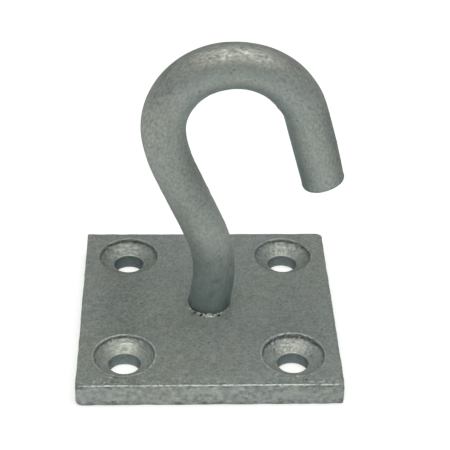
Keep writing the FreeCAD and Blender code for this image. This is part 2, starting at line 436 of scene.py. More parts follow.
def hole_marks(points):
    """The relief, the marks and the grain in and round the screw holes.

    The rim is ragged and has a raised lip with a painted highlight, brightest on its far side, and painted
    shade in the crease under it and more faintly below that. The bore has painted shade, darkest at its two
    sides, a painted cool tint and a painted highlight on its far edge at the seat's foot. The seat glints and
    has some painted highlight or shade of its own. In a seat the grain is a place on an unrolled ring,
    so that it is drawn round or down the seat.
    """
    number, distance, angle = nearest_hole(points)
    sink_radius, wall, depth, bore_radius, _, exit_round, _ = np.array(list(HOLE_SHAPES.values()))[number].T
    height = points[:, 2]
    uneven = ripple(points, 1.5, 31)
    finer = ripple(points, 0.7, 32)
    seat_foot = PLATE_TOP - depth
    wall_foot = sink_radius - SINK_LIP - SINK_WALL_TAPER
    sunk = height < PLATE_TOP - 0.12
    near_side = 0.5 - 0.5 * np.cos(angle - LIP_SIDES[number])
    # The lip stands up a little and carries a painted highlight, strongest on the rim's far side
    lip = hill(distance, sink_radius + 0.02, LIP_SPREAD) * (height > PLATE_TOP - 0.5)
    lip *= LIP_STRENGTHS[number] * (1 - LIP_FALLS[number] * near_side**1.5)
    lip *= np.clip(0.85 + 0.2 * uneven + 0.2 * finer, 0, 1.3)
    # Painted shade in the crease under the lip's step
    crease = hill(distance, wall_foot + 0.08, CREASE_SPREAD + 0.14 * wall) * sunk
    crease *= np.clip(CREASE_SHADE[number] * (1 + 0.4 * uneven + 0.4 * finer), 0, 0.9)
    # Fainter painted shade down the seat below the crease
    below = 0.42 * CREASE_SHADE[number] * smooth_step(distance, wall_foot - 1.5, wall_foot)
    below *= (distance < wall_foot + 0.2) * sunk
    near_bore = distance < bore_radius + exit_round + 0.3
    in_bore = near_bore & (height < seat_foot)
    # Painted shade in the bore, darkest at its two sides
    bore = near_bore * smooth_step(seat_foot - height, 0.0, 0.25)
    bore *= BORE_SHADE[number] + 0.35 * np.cos(angle) ** 4 + 0.15 * hill(height, seat_foot - 0.25, 0.2)
    # A painted highlight on the far edge where the bore meets the seat
    bore_lip = hill(distance, bore_radius + 0.02, BORE_EDGE_SPREAD) * smooth_step(np.sin(angle), 0.2, 0.8)
    bore_lip *= hill(height, seat_foot, BORE_EDGE_SPREAD)
    seat = (distance < wall_foot) * smooth_step(height, seat_foot - 0.05, seat_foot + 0.1)
    pits = np.clip(bumps(points, SEAT_PITS, 0.45, 1.0), 0, 1) * seat
    speck_places = [(across, along, PLATE_TOP) for across, along in RIM_SPECKS]
    specks = np.clip(bumps(points, speck_places, 0.3, 1.0) * (0.8 + 0.6 * finer), 0, 1)
    # Painted highlight on the lip, the bore's edge and the seat, and the bright specks
    highlight_and_wear = lip + 0.6 * bore_lip + SEAT_HIGHLIGHT[number] * seat + 0.7 * specks
    # Painted shade in the crease, below it, in the bore and on some seats, with the seats' pits
    dull_and_shade = np.maximum.reduce([crease, bore, SEAT_SHADE[number] * seat + below, 0.7 * pits])
    # Below 0 in the bore, the glint gives the zinc a painted cool shade tint
    glint = seat * SEAT_GLINT[number] - 0.8 * smooth_step(bore, 0, 0.3)
    ragged = (0.05 * uneven + 0.04 * finer) * hill(distance, wall_foot, RAGGED_SPREAD)
    ragged *= height < PLATE_TOP - 0.05
    relief = 0.08 * lip + ragged - 0.08 * pits + 0.06 * specks
    ring = np.where(in_bore, BORE_MIDDLE, SEAT_MIDDLE * GRAIN_ROUND[number])
    down = np.where(in_bore, 1.3 * height, (distance + 0.7 * height) * GRAIN_DOWN[number])
    unrolled = np.column_stack([ring * np.cos(angle), ring * np.sin(angle), down + 30.0 * number])
    inside = distance < sink_radius - 0.02
    return relief, np.column_stack([highlight_and_wear, dull_and_shade, glint]), np.where(inside[:, None], unrolled, points)


# The burr along the front edge, which stands up and carries a painted highlight: its strength at the left,
# how much it gains to the right, and the ripples that break it up, each with its strength, its wavelength
# and its seed
BURR_LEFT = 0.72
BURR_GAIN = 0.25
BURR_RIPPLES = [(0.22, 9.0, 41), (0.24, 2.3, 49), (0.22, 0.8, 42)]
# The second, fainter line of burr behind the first: from and to in X, and its place in Y
SECOND_LINE = (16.5, 23.0)
SECOND_LINE_Y = -24.2
# How the front face's grain is scaled: coarser, and drawn out downwards
FRONT_GRAIN = (0.48, 1.0, 0.6)


def front_marks(points):
    """How strong the burr along the plate's front edge is, which stands up and carries a painted highlight,
    and how strong the painted shade is in the lines under and behind it.
    """
    along, y, z = points.T
    on_top = z > PLATE_TOP - 0.1
    broken = BURR_LEFT + BURR_GAIN * smooth_step(along, -2, 6)
    for strength, wavelength, seed in BURR_RIPPLES:
        broken += strength * ripple_along(along, wavelength, seed)
    broken = np.clip(broken, 0.06, 1.25)
    spread = 0.12 + 0.16 * hill(along, -17.0, 3.2) * np.clip(0.5 + 0.6 * ripple_along(along, 1.4, 50), 0, 1)
    ends = smooth_step(PLATE_HALF - 0.6 - np.abs(along), 0, 1.0)
    edge = 0.3 * TOP_EDGE_ROUND
    # The burr's lines stand up and carry a painted highlight
    line = hill(y, -PLATE_HALF + edge, spread) * hill(z, PLATE_TOP - edge, 0.12) * broken
    reach = smooth_step(along, SECOND_LINE[0], SECOND_LINE[0] + 2) * smooth_step(SECOND_LINE[1] - along, 0, 1)
    second = hill(y, SECOND_LINE_Y + 0.1 * ripple_along(along, 2.4, 45), 0.13) * reach
    second *= on_top * np.clip(0.5 + 0.4 * ripple_along(along, 1.3, 46), 0, 1)
    drop = 0.1 * ripple_along(along, 2.6, 43)
    # Painted shade in a line under the burr, over a shallow groove
    shade = hill(z, PLATE_TOP - 0.42 + drop, 0.12) * (y < -PLATE_HALF + 0.3)
    shade *= np.clip(0.45 + 0.4 * ripple_along(along, 1.9, 44) + 0.6 * hill(along, 21.8, 2.2), 0, 1.2)
    # Painted shade in a line behind the burr, on the top
    behind = hill(y, -PLATE_HALF + 0.62 + 0.08 * ripple_along(along, 3.0, 47), 0.16) * on_top
    behind *= np.clip(0.35 + 0.5 * ripple_along(along, 3.3, 48), 0, 0.8)
    return (line + 0.6 * second) * ends, shade + 0.7 * behind


def scratches(points):
    """Fine scratches on the plate's top, from 0 to 1, by the distance to the nearest point of each line."""
    depth = np.zeros(len(points))
    for first, last in np.array(SCRATCHES):
        span = last - first
        share = np.clip((points[:, :2] - first) @ span / (span @ span), 0, 1)[:, None]
        distance = np.linalg.norm(points[:, :2] - first - share * span, axis=1)
        depth = np.maximum(depth, hill(distance, 0, 0.16))
    return depth * (points[:, 2] > PLATE_TOP - 0.1)


# The plate's waves of zinc: the height, the wavelength and the seed of each layer
PLATE_WAVES = [(0.016, 11.0, 1), (0.008, 2.6, 2), (0.004, 1.1, 3)]
# How far the right side stands out, and more so low down by its front, and how far the top left edge lies in
RIGHT_OUT = 0.06
LOW_RIGHT_OUT = 0.17
LEFT_IN = 0.07
# How far the back of the top is raised, and how much more at its left
BACK_RAISED = 0.06
BACK_LEFT_RAISED = 0.05
# How far the right side may stand out at most, and how the front face's pits are drawn out along it
RIGHT_ROOM = 0.3
PITS_DRAWN_OUT = np.array([0.5, 1.0, 1.0])


def uneven_sides(points):
    """How far the plate's right side and its top's back stand out, less how far its left edge lies in."""
    x, y, z = points.T
    at_right = smooth_step(x, PLATE_HALF - 0.6, PLATE_HALF - 0.2)
    at_left = smooth_step(-x, PLATE_HALF - 0.6, PLATE_HALF - 0.2)
    right = at_right * smooth_step(12 - y, 0, 12)
    low_right = at_right * smooth_step(-y, 10, 22) * smooth_step(PLATE_TOP - 0.3 - z, 0, 1.4)
    left = at_left * hill(y, -11, 9) * smooth_step(z, 3.4, PLATE_TOP - 0.1)
    back = smooth_step(y, 22, 24.5) * (z > PLATE_TOP - 0.1)
    raised = BACK_RAISED + BACK_LEFT_RAISED * smooth_step(-x, 15, 24)
    return RIGHT_OUT * right + LOW_RIGHT_OUT * low_right - LEFT_IN * left + raised * back


def painted_plate_light(points):
    """Painted light on the middle of the plate's top, and painted shade on the top's left and right and on
    the front face, darker towards its right.
    """
    x, y, z = points.T
    on_top = z > PLATE_TOP - 0.1
    # A soft pool of painted light on the middle of the top
    light = 0.075 * hill(x, 2, 11) * smooth_step(y, -9, -3) * on_top
    # Painted shade on the top's left and right, and across the front face, darker to its right
    sides = 0.34 * hill(x, -17, 5.5) * (1 - 0.5 * smooth_step(y, 8, 20))
    sides = (sides + 0.11 * hill(x, 17, 5.5)) * on_top
    front = (0.05 + 0.08 * smooth_step(x, 0, 14)) * (y < -PLATE_HALF + 0.3)
    return light, np.maximum(sides, front)


def make_plate():
    """The plate, with the unevenness of its zinc, its burr and specks, and its pitted front face.

    The relief is the sum of the zinc's waves, the uneven sides, the burr, the holes' lips and the specks,
    less the dents, pits and stain spots, one of them a painted shadow, and the line under the burr. It moves
    each point square to the surface.
    """
    points, faces = plate_surface()
    normals = point_normals(points, faces)
    half, top = PLATE_HALF, PLATE_TOP
    hole_relief, marks, grain = hole_marks(points)
    burr, shade = front_marks(points)
    light, painted_shade = painted_plate_light(points)
    speck_places = scattered((-half + 1, -half + 0.4, top), (half - 1, -half + 2.4, top), 70, 51)
    specks = bumps(points, speck_places, 0.17, 1.0)
    dents = bumps(points, scattered((-half, -half, top), (half, half, top), 60, 53), 0.6, 1.0)
    pit_places = scattered((-half, -half, 0.0), (half, -half, 0.5), 34, 52)
    pits = bumps(points * PITS_DRAWN_OUT, pit_places * PITS_DRAWN_OUT, 0.3, 1.0)
    # Stain spots, and the painted shadow of the flare left of the bar's foot
    stains_and_shadow = np.clip(bumps(points, STAINS_AND_SHADOW, 0.52, 1.0) * (0.9 + 0.4 * ripple(points, 0.7, 54)), 0, 1)
    outside = smooth_step(np.abs(points[:, :2]).max(1), half - 0.8, half - 0.4)
    by_foot = 1 - smooth_step(np.hypot(points[:, 0] - FOOT_X, points[:, 1] - FOOT_Y), 5.6, 7.5)
    relief = waves(points, PLATE_WAVES) * (1 - by_foot) - 0.01 * by_foot - 0.03 * dents
    relief += outside * (0.02 * ripple(points, 3.6, 4) - 0.01 - 0.03 * np.clip(pits, 0, 1))
    relief += 0.1 * burr - 0.06 * shade + hole_relief + 0.05 * specks - 0.06 * stains_and_shadow + uneven_sides(points)
    moved = points + normals * relief[:, None]
    moved[:, 2] = np.maximum(moved[:, 2], 0.0)
    moved[:, :2] = np.clip(moved[:, :2], -half, (half + RIGHT_ROOM, half))
    pitted = outside * np.clip(0.6 * pits, 0, 0.6)
    # Painted shade under and behind the burr, on the top's sides and the front face, with the pits,
    # scratches, stain spots and the painted shadow beside the bar's foot
    darkened = [marks[:, 1], 0.85 * shade, pitted, painted_shade, 0.5 * scratches(points), 0.75 * stains_and_shadow]
    # Painted highlight on the burr and the specks, and painted light on the middle of the top
    marks[:, 0] += burr + 0.5 * specks + light
    marks[:, 1] = np.maximum.reduce(darkened)
    grain = np.where((points[:, 1] < -half + 0.05)[:, None], grain * FRONT_GRAIN, grain)
    return add_mesh("mounting_plate_zinc", moved, faces, np.clip(marks, -1, 1.2), grain)


# Points along the centreline that its running sum takes
CENTRELINE_POINTS = 40001


def bar_line(count):
    """Evenly spaced points along the bar's centreline, in X and Z, with the heading and the length so far.

    The heading is counted from +Z towards +X. It is constant on a run and turns evenly on a bend, and the
    line is the running sum of its sine and cosine.
    """
    lengths = [size if kind == "run" else size * math.radians(abs(turn)) for kind, size, turn in BAR_STEPS]
    knots = np.concatenate([[0], np.cumsum(lengths)])
    headings = np.radians(FOOT_LEAN + np.concatenate([[0], np.cumsum([turn for _, _, turn in BAR_STEPS])]))
    fine = np.linspace(0, knots[-1], CENTRELINE_POINTS)
    heading = np.interp(fine, knots, headings)
    step = fine[1] - fine[0]
    middle = (heading[:-1] + heading[1:]) / 2
    x = FOOT_X + step * np.concatenate([[0], np.cumsum(np.sin(middle))])
    z = PLATE_TOP + step * np.concatenate([[0], np.cumsum(np.cos(middle))])
    length = np.linspace(0, knots[-1], count)
    return np.interp(length, fine, x), np.interp(length, fine, z), np.interp(length, fine, heading), length


# Points of the bar's grid: along and round it, over its tip's rim, in to the middle of its end, out over the
# tenon's head, and from the tenon up to the bar
BAR_ROWS = 620
BAR_COLUMNS = 140
RIM_STEPS = 9
END_STEPS = 14
HEAD_STEPS = 12
SHOULDER_STEPS = 4


def bar_rings(turn):
    """The bar's rings of points from the plate to the tip, and the same points on a straightened bar.

    The rings follow the centreline, then a quarter circle round the tip's rim, then the flat end in to its
    middle, where the straightened bar runs on past its tip.
    """
    x, z, heading, length = bar_line(BAR_ROWS)
    end_x, end_z, end_heading, end_length = x[-1], z[-1], heading[-1], length[-1]
    keep = length <= end_length - TIP_ROUND
    rim = arc_points((BAR_RADIUS - TIP_ROUND, 0), TIP_ROUND, 0, 90, RIM_STEPS)
    flat = np.linspace(BAR_RADIUS - TIP_ROUND, 0, END_STEPS)[1:]
    past = np.concatenate([rim[:, 1] - TIP_ROUND, BAR_RADIUS - TIP_ROUND - flat])
    back = np.minimum(past, 0)
    x = np.append(x[keep], end_x + back * math.sin(end_heading))
    z = np.append(z[keep], end_z + back * math.cos(end_heading))
    heading = np.append(heading[keep], np.full(len(past), end_heading))
    length = np.append(length[keep], end_length + past)
    radius = np.concatenate([np.full(keep.sum(), BAR_RADIUS), rim[:, 0], flat])
    side = radius[:, None] * np.cos(turn)
    depth = radius[:, None] * np.sin(turn)
    across = x[:, None] + side * np.cos(heading)[:, None]
    height = z[:, None] - side * np.sin(heading)[:, None]
    rings = np.stack([across, FOOT_Y + depth, height], axis=2)
    straight = np.stack([side, depth, np.broadcast_to(length[:, None], side.shape)], axis=2)
    return rings, straight


def sit_on_plate(rings):
    """Slides the rings that would dip below the plate's top up along the leaning bar until they meet it."""
    lean = math.radians(FOOT_LEAN)
    low = np.maximum(PLATE_TOP - rings[..., 2], 0)
    rings[..., 2] += low
    rings[..., 0] += low * math.tan(lean)
    return rings


def tenon_rings(turn):
    """Rings from the middle of the tenon's head out over the head, up its cone and the tenon to the bar."""
    profile = joined(
        line_points((0, 0), (HEAD_RADIUS, 0), HEAD_STEPS),
        line_points((HEAD_RADIUS, 0), (TENON_RADIUS, HEAD_DEPTH), TENON_STEPS),
        line_points((TENON_RADIUS, HEAD_DEPTH), (TENON_RADIUS, PLATE_TOP), TENON_STEPS),
    )
    radius, height = profile[:, 0][:, None], profile[:, 1][:, None]
    x = FOOT_X + radius * np.cos(turn)
    y = FOOT_Y + radius * np.sin(turn)
    return np.stack([x, y, np.broadcast_to(height, x.shape)], axis=2)


# Places along the bar and round it are in millimetres from the plate and degrees, with -Y at 270 and the
# bight at 0. The crown is the top of the bend.
CROWN = 61.0
# The crown's streaks of painted highlight: their side at the crown, and how many degrees they turn each
# millimetre
HIGHLIGHT_STREAKS = [(203.5, 2.2), (221.5, 1.0)]
# How much thicker the bar stands on the inside of its bends, by length: bent metal gathers there
BIGHT_SIDE = 340.0
GATHERED_AT = [39.0, 44.0, 50.0, 60.0, 65.0, 71.0, 75.5, 78.0]
GATHERED = [0.0, 0.1, 0.27, 0.28, 0.16, 0.17, 0.26, 0.02]
# How far the zinc stands out on the outside of the bar and on its inside, by length
OUTSIDE_AT = [34.0, 40.0, 54.0, 58.0, 60.5, 62.3, 64.0, 67.5, 72.0, 75.0, 79.0, 83.0, 87.5, 93.0]
OUTSIDE = [-0.07, 0.08, 0.08, 0.07, 0.05, -0.02, -0.02, 0.07, 0.1, 0.01, -0.06, 0.02, 0.08, -0.12]
INSIDE_AT = [34.0, 40.0, 88.0, 93.0]
INSIDE = [-0.07, -0.01, -0.01, -0.07]
# The bar's waves of zinc, by height, wavelength and seed, and how far their tops stay below its outline
BAR_WAVES = [(0.018, 9.0, 11), (0.009, 2.4, 12), (0.005, 1.0, 13)]
KEPT_BELOW = 0.012
# The flare where the bar meets the plate: its height, its side, and how fast it falls off up the bar
FLARE = 0.3
FLARE_SIDE = 190
FLARE_FALL = 0.9
# Soft patches on the bar, by place, spread along, side and spread round: the crown, the band of painted cool
# reflection under it and the painted shade on the shank, then, with a strength first, patches of painted
# light and the tip's two sharper corners
CROWN_PATCH = (CROWN, 19, 205, 55)
COOL_REFLECTION_PATCH = (CROWN + 1, 9, 262, 16)
SHADE_PATCH = (33, 12, 335, 38)
PAINTED_LIGHT_PATCHES = [(0.1, 18.5, 4.5, 285, 60), (0.045, CROWN, 10, 183, 13), (0.045, CROWN, 10, 241, 13)]
TIP_CORNERS = [(0.2, 95.0, 0.7, 325, 45), (0.11, 95.1, 0.5, 200, 35)]
SHOULDER_PITS = [(49.7, 226), (50.6, 240), (47.9, 233), (44.6, 246), (93.2, 262), (36.0, 214), (76.4, 322)]
FOOT_STAINS = [(8.0, 268), (8.2, 280), (5.4, 271), (4.4, 266), (2.6, 318), (1.4, 322)]


def round_bar(points, degrees):
    """How far round the bar each point is from a side given in degrees, counted both ways up to 180."""
    turn = np.degrees(np.arctan2(points[:, 1], points[:, 0]))
    return np.abs((turn - degrees + 180) % 360 - 180)


def on_side(points, degrees, width):
    """1 along one side of the bar, given in degrees, and falling off round it both ways."""
    return hill(round_bar(points, degrees), 0, width)


def patch(points, place, spread, degrees, width):
    """A soft patch on the bar: 1 at its place and side, and falling off along the bar and round it."""
    return hill(points[:, 2], place, spread) * on_side(points, degrees, width)


def patches(points, rows):
    """The sum of several soft patches, each with its strength first."""
    return sum(strength * patch(points, *row) for strength, *row in rows)


def near_foot(length):
    """1 where the bar meets the plate, and falling off up the bar: exp(-length / fall)."""
    return np.exp(-np.abs(length) / FLARE_FALL)


def bar_places(spots):
    """Places on the straightened bar's surface from lengths and degrees."""
    length, turn = np.array(spots, float).T
    turn = np.radians(turn)
    return np.column_stack([BAR_RADIUS * np.cos(turn), BAR_RADIUS * np.sin(turn), length])


def bar_relief(unbent, crown, pits):
    """How far the bar's surface stands off plain round bar.

    It is waves of zinc, finer ones along the crown, fine cracks across the bends, pits, the unevenness of its
    outside and inside, the metal that the bending gathered, the flare at its foot and the tip's corners.
    """
    length = unbent[:, 2]
    bent = smooth_step(length, 34, 42) * (1 - smooth_step(length, 78, 84))
    relief = waves(unbent, BAR_WAVES)
    relief += 0.012 * crown * ripple(unbent * (1, 1, 0.4), 0.95, 14)
    relief += 0.005 * bent * ripple(unbent * (0.35, 0.35, 1), 0.8, 15)
    outer_half = np.clip(0.5 - 0.5 * unbent[:, 0] / BAR_RADIUS, 0, 1)
    inside = np.interp(length, INSIDE_AT, INSIDE)
    stand = inside + (np.interp(length, OUTSIDE_AT, OUTSIDE) - inside) * outer_half
    relief = np.minimum(relief + stand, np.maximum(stand, 0) - KEPT_BELOW) - 0.04 * np.clip(pits, 0, 1)
    relief += np.interp(length, GATHERED_AT, GATHERED) * on_side(unbent, BIGHT_SIDE, 60)
    relief += FLARE * near_foot(length) * on_side(unbent, FLARE_SIDE, 50) + patches(unbent, TIP_CORNERS)
    return relief * smooth_step(length, -0.2, 0.15)


def bar_marks(unbent, crown, pits):
    """The painted highlight, the painted shade and the glint of the bar's zinc at each point.

    Painted highlight lies in streaks that turn round the crown, beside them, on the foot's front and down
    the tip's front. Painted shade lies where the bar meets the plate, low on the bar and more on its two
    sides, along the sides of the tip's run, on the shank, faintly on the crown and at the tip's end. The
    pits and the foot's stain spots are darker. The crown glints with a painted warm tint, apart from a band
    of painted cool reflection, and the foot and the bight are smooth, with a painted cool shade tint.
    """
    length = unbent[:, 2]
    broken = 0.35 + 0.6 * ripple(unbent * (1, 1, 0.5), 1.3, 17) + 0.4 * ripple(unbent, 0.6, 18)
    sides = [round_bar(unbent, degrees + slope * (length - CROWN)) for degrees, slope in HIGHLIGHT_STREAKS]
    streaks = hill(length, CROWN + 1, 8) * hill(np.minimum(*sides), 0, 5) * np.clip(broken, -0.4, 1.6)
    # Painted highlight: streaks round the crown, down the tip's front and in the patches of painted light
    highlight_and_wear = 0.32 * streaks + 0.05 * on_side(unbent, 262, 30) * smooth_step(length, 76, 84)
    highlight_and_wear += patches(unbent, PAINTED_LIGHT_PATCHES)
    low = 1 - smooth_step(length + 0.5 * ripple(unbent * (1, 1, 0.3), 1.6, 20), 12, 16)
    # Painted shade low on the bar and more on its two sides, with the foot's stain spots
    foot_shade_and_stains = 0.02 + 0.06 * hill(length, 12, 3) + 0.05 * np.clip(ripple(unbent, 2.4, 19), 0, 2)
    foot_shade_and_stains += 0.17 * on_side(unbent, 325, 30) + 0.08 * on_side(unbent, 205, 30)
    foot_shade_and_stains = low * foot_shade_and_stains + bumps(unbent, bar_places(FOOT_STAINS), 0.55, 0.3)
    # Painted shade along the sides of the tip's run and on the shank
    edges = 0.46 * on_side(unbent, 203, 36) + 0.17 * on_side(unbent, 333, 30)
    shaded = np.maximum(edges * smooth_step(length, 74, 82), 0.3 * patch(unbent, *SHADE_PATCH))
    # Painted shade at the tip's end
    end = smooth_step(length + 0.2 * ripple(unbent, 1.2, 16), 94.9, 95.4)
    # Painted shade where the bar meets the plate and faintly on the crown, with the pits
    dull_and_shade = 0.05 * crown**2 + 0.7 * near_foot(length) + 0.35 * pits + shaded + foot_shade_and_stains + 0.7 * end
    # A band of painted cool reflection under the crown
    cool_reflection = patch(unbent, *COOL_REFLECTION_PATCH)
    # The foot and the bight are smooth, and the glint below 0 gives them a painted cool shade tint
    smooth = low * (1 - 0.5 * smooth_step(length, 5, 12))
    smooth = np.maximum(smooth, on_side(unbent, 350, 55) * smooth_step(length, 38, 50))
    glint = crown * (1 - cool_reflection) - 0.7 * smooth * (1 - crown) - 0.45 * cool_reflection
    return np.column_stack([highlight_and_wear, np.clip(dull_and_shade, 0, 1), glint])


def make_hook():
    """The bent bar with its tenon: rings from its head to its tip, moved by the relief off their surface."""
    turn = np.linspace(0, 2 * np.pi, BAR_COLUMNS + 1)
    rings, straight = bar_rings(turn)
    rings = sit_on_plate(rings)
    hidden = tenon_rings(turn)
    share = np.linspace(0, 1, SHOULDER_STEPS)[1:-1, None, None]
    shoulder = hidden[-1] * (1 - share) + rings[0] * share
    below = np.concatenate([hidden, shoulder])
    points = np.concatenate([below, rings])
    unbent = np.concatenate([below - (FOOT_X, FOOT_Y, PLATE_TOP), straight])
    rows, columns = points.shape[:2]
    points, faces, first = weld(points.reshape(-1, 3), grid_faces(rows, columns))
    unbent = unbent.reshape(-1, 3)[first]
    crown = patch(unbent, *CROWN_PATCH)
    pits = bumps(unbent, bar_places(SHOULDER_PITS), 0.28, 1.0)
    pits += bumps(unbent, scattered((-4, -4, 2), (4, 4, 94), 150, 61), 0.3, 0.7)
    moved = points + point_normals(points, faces) * bar_relief(unbent, crown, pits)[:, None]
    length = unbent[:, 2]
    moved[:, 2] = np.where(length > -0.01, np.maximum(moved[:, 2], PLATE_TOP), moved[:, 2])
    grain = unbent.copy()
    grain[:, 2] = 0.35 * length + 0.35 * np.maximum(length - 12, 0)
    return add_mesh("hook_zinc", moved, faces, bar_marks(unbent, crown, pits), grain)


BEAD_ROWS = 18
BEAD_COLUMNS = 420
# The waves of the bead's outline and its lumps, by height, wavelength and seed
BEAD_WAVES = [(0.1, 2.2, 21), (0.09, 0.9, 22)]
BEAD_LUMPS = [(0.3, 1.0, 23), (0.3, 0.55, 24)]
# Pits in the bead: degrees round the foot, with the front at 270, and distance from the bar's middle
BEAD_PITS = [(230, 4.7), (249, 4.73), (292, 4.9)]
# How far the bead reaches in under the bar's surface
BEAD_TUCK = 0.15


def make_bead():
    """The bead round the foot: a low dome from the bar to the plate, wide and lumpy in front, thin elsewhere.

    Its rise is its height times sqrt(1 - share squared) times the lumps, over the share of its width.
    """
    turn = np.linspace(0, 2 * np.pi, BEAD_COLUMNS + 1)
    around = np.column_stack([np.cos(turn), np.sin(turn), 0 * turn])
    front = on_side(around, 268, 35.5) + 0.55 * on_side(around, 204, 7.4)
    width = 0.42 + 0.72 * front + waves(around * BAR_RADIUS, BEAD_WAVES)
    width[-1], front[-1] = width[0], front[0]
    width = np.clip(width, 0.3, BEAD_WIDTH)
    share = np.linspace(0, 1, BEAD_ROWS)[:, None]
    radius = BAR_RADIUS - BEAD_TUCK + (width + BEAD_TUCK) * share
    x = FOOT_X + radius * np.cos(turn)
    y = FOOT_Y + radius * np.sin(turn)
    place = np.stack([x, y, np.full(x.shape, PLATE_TOP)], axis=2).reshape(-1, 3)
    lumps = np.clip(0.72 + waves(place, BEAD_LUMPS), 0.12, 1.0).reshape(x.shape)
    height = BEAD_HEIGHT * (0.3 + 0.7 * np.clip(front, 0, 1))
    rise = height * np.sqrt(np.clip(1 - share**2, 0, 1)) * lumps
    angle, distance = np.array(BEAD_PITS, float).T
    angle = np.radians(angle)
    pit_x, pit_y = FOOT_X + distance * np.cos(angle), FOOT_Y + distance * np.sin(angle)
    pit_places = np.column_stack([pit_x, pit_y, np.full_like(angle, PLATE_TOP)])
    pits = bumps(place, pit_places, 0.38, 1.1).reshape(x.shape)
    rise = rise * (1 - 0.9 * np.clip(pits, 0, 1))
    top = np.stack([x, y, PLATE_TOP + rise], axis=2)
    top[-1, :, 2] = PLATE_TOP
    foot = top[::-1].copy()
    foot[..., 2] = PLATE_TOP
    points = np.concatenate([top, foot[1:], top[:1]])
    # Painted highlight on the bead's lumpy front
    highlight_and_wear = 0.65 * np.clip(front, 0, 1) * lumps * smooth_step(share, 0.12, 0.4)
    highlight_and_wear = np.concatenate([highlight_and_wear * (1 - np.clip(1.3 * pits, 0, 1)), 0 * x, 0 * x[:1]])[:-1]
    # Painted shade in the crease where the bead meets the bar, and the dark pits
    crease = 1 - smooth_step(share, 0.05, 0.3)
    dull_and_shade = np.concatenate([np.clip(0.7 * crease + 1.6 * pits, 0, 1.4), 0 * x, 0 * x[:1]])[:-1]
    rows, columns = points.shape[:2]
    points, faces, first = weld(points.reshape(-1, 3), grid_faces(rows, columns)[:, ::-1])
    marks = np.stack([highlight_and_wear, dull_and_shade, 0 * dull_and_shade], axis=2).reshape(-1, 3)[first]
    return add_mesh("foot_bead_zinc", points, faces, marks, points)


class Value:
    """A number in a material. Plain arithmetic on it adds the material's Math nodes."""

    def __init__(self, finish, socket):
        self.finish = finish
        self.socket = socket

    def math(self, operation, *values):
        node = self.finish.node("ShaderNodeMath", {"operation": operation}, dict(enumerate(values)))
        return Value(self.finish, node.outputs[0])

    def __add__(self, other):
        return self.math("ADD", self, other)

    __radd__ = __add__

    def __sub__(self, other):
        return self.math("SUBTRACT", self, other)

    def __rsub__(self, other):
        return self.math("SUBTRACT", other, self)

    def __mul__(self, other):
        return self.math("MULTIPLY", self, other)

    __rmul__ = __mul__

    def between(self, low, high):
        """0 where the number is at low, 1 at high, which may be the smaller one, and a smooth S between."""
        settings = {"interpolation_type": "SMOOTHSTEP"}
        node = self.finish.node("ShaderNodeMapRange", settings, {0: self, 1: low, 2: high})
        return Value(self.finish, node.outputs[0])


class Finish:
    """A material that is built up from nodes, all added by one method."""

    def __init__(self, name):
        self.material = bpy.data.materials.new(name)
        self.material.use_nodes = True
        self.nodes = self.material.node_tree.nodes
        self.links = self.material.node_tree.links
        self.shader = self.nodes["Principled BSDF"]

    def node(self, kind, settings=None, sockets=None):
        """Adds one node: its settings first, then a value or a link for each socket, by name or number."""
        node = self.nodes.new(kind)
        for key, value in (settings or {}).items():
            setattr(node, key, value)
        for key, value in (sockets or {}).items():
            self.feed(node.inputs[key], value)
        return node

    def feed(self, socket, value):
        """Puts a number, a colour or another node's output into a socket."""
        source = value.socket if isinstance(value, Value) else value
        if isinstance(source, bpy.types.NodeSocket):
            self.links.new(source, socket)
        else:
            socket.default_value = source

    def place(self):
        """Position on the object in millimetres."""
        spot = self.node("ShaderNodeTexCoord").outputs["Object"]
        return self.scaled(spot, 1 / MM)

    def carried(self, name):
        """The three values of that name that the mesh carries at its points."""
        return self.node("ShaderNodeAttribute", {"attribute_name": name}).outputs["Vector"]

    def parts(self, vector):
        """The three numbers of a vector."""
        node = self.node("ShaderNodeSeparateXYZ", None, {0: vector})
        return [Value(self, socket) for socket in node.outputs]

    def noise(self, place, grain, detail=2.0, roughness=0.5):
        """Cloudy noise from 0 to 1 with features about one grain across, in millimetres."""
        sockets = {"Vector": place, "Scale": 1 / grain, "Detail": detail, "Roughness": roughness}
        return Value(self, self.node("ShaderNodeTexNoise", None, sockets).outputs["Fac"])

    def cells(self, place, spacing):
        """Distance to the nearest of many scattered points, in units of their spacing in millimetres."""
        sockets = {"Vector": place, "Scale": 1 / spacing}
        return Value(self, self.node("ShaderNodeTexVoronoi", None, sockets).outputs[0])

    def blend(self, share, first, second):
        """A colour between two colours."""
        return self.node("ShaderNodeMix", {"data_type": "RGBA"}, {0: share, 6: first, 7: second}).outputs[2]

    def scaled(self, vector, factor):
        """A place or a colour times a number."""
        sockets = {0: vector, "Scale": factor}
        return self.node("ShaderNodeVectorMath", {"operation": "SCALE"}, sockets).outputs[0]

    def bump(self, height, distance):
        """Fine relief: a height from 0 to 1 that stands for the distance in millimetres."""
        sockets = {"Height": height, "Strength": 1.0, "Distance": distance * MM}
        self.feed(self.shader.inputs["Normal"], self.node("ShaderNodeBump", None, sockets).outputs[0])


ZINC_GREEN = (0.384, 0.412, 0.37, 1)
ZINC_BLUE = (0.377, 0.408, 0.392, 1)
# Brown: patches of brown tone, and a painted warm highlight tint where the zinc glints
ZINC_BROWN = (0.423, 0.418, 0.384, 1)
# A painted cool shade tint in the bores, at the bar's foot and bight and in a band under the crown
ZINC_COOL_SHADE = (0.335, 0.405, 0.405, 1)
